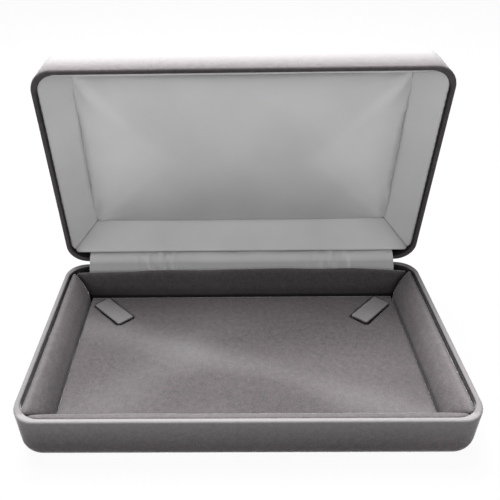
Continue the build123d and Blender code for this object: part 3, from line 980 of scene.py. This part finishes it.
class SpringOperator(bpy.types.Operator):
    """Make the two leaf springs that bend over the back rims"""
    bl_idname = "gift_box.springs"
    bl_label = "Snap Springs"

    def execute(self, context):
        rim_reach, sharp = 2.9 * mm, 50
        ribbon = settings("ribbon")
        for side in ("left", "right"):
            piece = node_copy(f"snap_spring_{side}", f"{side}_spring_bent")
            apply_modifier(piece, "BEVEL", width=ribbon.spring_bevel, segments=2,
                           limit_method="ANGLE", angle_limit=radians(sharp))
            finish_piece(piece, f"{side}_leaf_spring", None, finishes()["spring"],
                         f"snap_spring_{side}")
            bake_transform(piece)
            smooth(piece, 40)
        return {"FINISHED"}


class InnerPartOperator(bpy.types.Operator):
    """Paint the steel, card and foam pieces inside the box"""
    bl_idname = "gift_box.inner_parts"
    bl_label = "Inner Parts"

    def execute(self, context):
        looks = {
            "steel": ("base_shell", "lid_shell"),
            "plated": ("base_hinge_leaf", "lid_hinge_leaf", "base_leaf_rivets",
                       "lid_leaf_rivets", "hinge_pin"),
            "card": ("insert_board", "liner_board"),
            "foam": ("insert_foam", "liner_foam"),
        }
        for look, nodes in looks.items():
            for node in nodes:
                mesh = frame["nodes"][node].data
                mesh.materials.clear()
                mesh.materials.append(finishes()[look])
        return {"FINISHED"}


# Studio

def white_rays(tree):
    """1 for the rays that have to see plain white: the camera's and those of shiny surfaces."""
    rays = add_node(tree, "ShaderNodeLightPath")
    return add_node(tree, "ShaderNodeMath", {
        0: rays.outputs["Is Camera Ray"], 1: rays.outputs["Is Glossy Ray"],
    }, operation="MAXIMUM").outputs[0]


def paper_material():
    """Matt uncoated paper that the camera sees as white, with the object's soft shadow."""
    # Its fibres scatter all light evenly, so it shows no shine, only the shadow.
    grain_size = 3.33 * mm  # drawn coarse: paper fibres are too fine to show
    material, tree, shader, spot = new_material("Uncoated white paper")
    grain = add_node(tree, "ShaderNodeTexNoise",
                     {"Vector": spot, "Scale": 1 / grain_size, "Detail": 3}).outputs["Fac"]
    grain = add_node(tree, "ShaderNodeMapRange",
                     {"Value": grain, "From Min": 0.3, "From Max": 0.7}).outputs["Result"]
    colour_mix = add_node(tree, "ShaderNodeMix", {
        share_in: grain, first_in: (*srgb("#a6a6a6"), 1), second_in: (*srgb("#ababab"), 1),
    }, data_type="RGBA")
    set_inputs(tree, shader, {"Base Color": colour_mix.outputs[colour_out], "Roughness": 0.9})
    glow = add_node(tree, "ShaderNodeEmission", {"Color": (1, 1, 1, 1), "Strength": 1.0})
    share = add_node(tree, "ShaderNodeMath", {0: white_rays(tree), 1: settings("studio").glow},
                     operation="MULTIPLY").outputs[0]
    mix = add_node(tree, "ShaderNodeMixShader",
                   {0: share, 1: shader.outputs["BSDF"], 2: glow.outputs[0]})
    output = next(node for node in tree.nodes if node.type == "OUTPUT_MATERIAL")
    tree.links.new(mix.outputs[0], output.inputs["Surface"])
    return material


def surroundings(strength):
    """A pale sky that the camera sees as white."""
    world = bpy.data.worlds.new("Studio")
    bpy.context.scene.world = world
    world.use_nodes = True
    tree = world.node_tree
    tree.nodes.clear()
    brightness = add_node(tree, "ShaderNodeMapRange", {
        "Value": white_rays(tree), "To Min": strength, "To Max": 1.0,
    }).outputs["Result"]
    sky = add_node(tree, "ShaderNodeBackground",
                   {"Color": (1, 1, 1, 1), "Strength": brightness})
    add_node(tree, "ShaderNodeOutputWorld", {"Surface": sky.outputs[0]})


def soft_light(name, power, size, spot, aim):
    """A square softbox that points at a spot."""
    light = bpy.data.lights.new(name, "AREA")
    light.energy = power
    light.shape = "SQUARE"
    light.size = size
    lamp = bpy.data.objects.new(name, light)
    lamp.location = spot
    lamp.rotation_euler = (Vector(aim) - Vector(spot)).to_track_quat("-Z", "Y").to_euler()
    bpy.context.scene.collection.objects.link(lamp)


def aim_camera():
    """A camera at the place, turn and lens that the settings give."""
    full_frame, nearest = 36, 10 * mm
    studio = settings("studio")
    camera = bpy.data.objects.new("Camera", bpy.data.cameras.new("Camera"))
    bpy.context.scene.collection.objects.link(camera)
    turn = Matrix.Rotation(-studio.yaw, 4, "Z") @ Matrix.Rotation(pi / 2 - studio.pitch, 4, "X")
    turn = turn @ Matrix.Rotation(studio.roll, 4, "Z")
    camera.matrix_world = Matrix.Translation(studio.camera_place) @ turn
    camera.data.sensor_width = full_frame
    camera.data.lens = studio.lens
    camera.data.shift_x = studio.shift_x
    camera.data.shift_y = studio.shift_y
    camera.data.clip_start = nearest
    bpy.context.scene.camera = camera


class StudioOperator(bpy.types.Operator):
    """Set up the floor, the lights and the camera"""
    bl_idname = "gift_box.studio"
    bl_label = "Studio"

    def execute(self, context):
        paper_size, paper_drop = 6, 0.2 * mm
        studio = settings("studio")
        context.scene.view_settings.view_transform = "Standard"
        bpy.ops.object.select_all(action="DESELECT")
        bpy.ops.mesh.primitive_plane_add(size=paper_size, location=(0, 0, -paper_drop))
        bpy.ops.object.transform_apply(location=True)
        paper = context.object
        paper.name = "studio_floor"
        paper.data.materials.append(paper_material())
        surroundings(studio.sky)
        for name, power, size, spot, aim in (
            ("Top softbox", studio.key_power, 0.5, (-0.12, 0.2, 0.85), (0, 0, 0.02)),
            ("Front softbox", studio.fill_power, 0.6, (-0.2, -0.9, 0.45), (0, 0.02, 0.06)),
            ("Left softbox", studio.side_power, 0.5, (-0.8, -0.35, 0.35), (0, 0, 0.08)),
            ("Right softbox", studio.side_power, 0.5, (0.8, -0.35, 0.35), (0, 0, 0.08)),
            ("Rear softbox", studio.rear_power, 0.4, (0, 0.5, 0.55), (0, 0.05, 0.12)),
        ):
            soft_light(name, power, size, spot, aim)
        aim_camera()
        return {"FINISHED"}


operators = (WrapOperator, WallPadOperator, FloorOperator, TabOperator, LinerPadOperator,
             LinerPanelOperator, RibbonOperator, SpringOperator, InnerPartOperator,
             StudioOperator)


class GiftBoxPanel(bpy.types.Panel):
    """Sizes and steps of the gift box"""
    bl_idname = "VIEW3D_PT_gift_box"
    bl_label = "Necklace Gift Box"
    bl_space_type = "VIEW_3D"
    bl_region_type = "UI"
    bl_category = "Gift Box"

    def draw(self, context):
        for operator in operators:
            self.layout.operator(operator.bl_idname)
        for name, group in groups.items():
            box = self.layout.box()
            for prop in group.__annotations__:
                box.prop(settings(name), prop)


groups = {"wrap": WrapSettings, "insert": InsertSettings, "liner": LinerSettings,
          "ribbon": RibbonSettings, "studio": StudioSettings}


def register():
    """Registers the settings, the operators and the panel."""
    for name, group in groups.items():
        bpy.utils.register_class(group)
        setattr(bpy.types.Scene, f"gift_box_{name}", PointerProperty(type=group))
    for entry in (*operators, GiftBoxPanel):
        bpy.utils.register_class(entry)


def unregister():
    """Removes all that register added."""
    for entry in reversed((*operators, GiftBoxPanel)):
        bpy.utils.unregister_class(entry)
    for name, group in groups.items():
        delattr(bpy.types.Scene, f"gift_box_{name}")
        bpy.utils.unregister_class(group)


def main():
    """Makes every piece and the studio in order."""
    register()
    for operator in operators:
        group, name = operator.bl_idname.split(".")
        getattr(getattr(bpy.ops, group), name)()


if __name__ == "__main__":
    main()
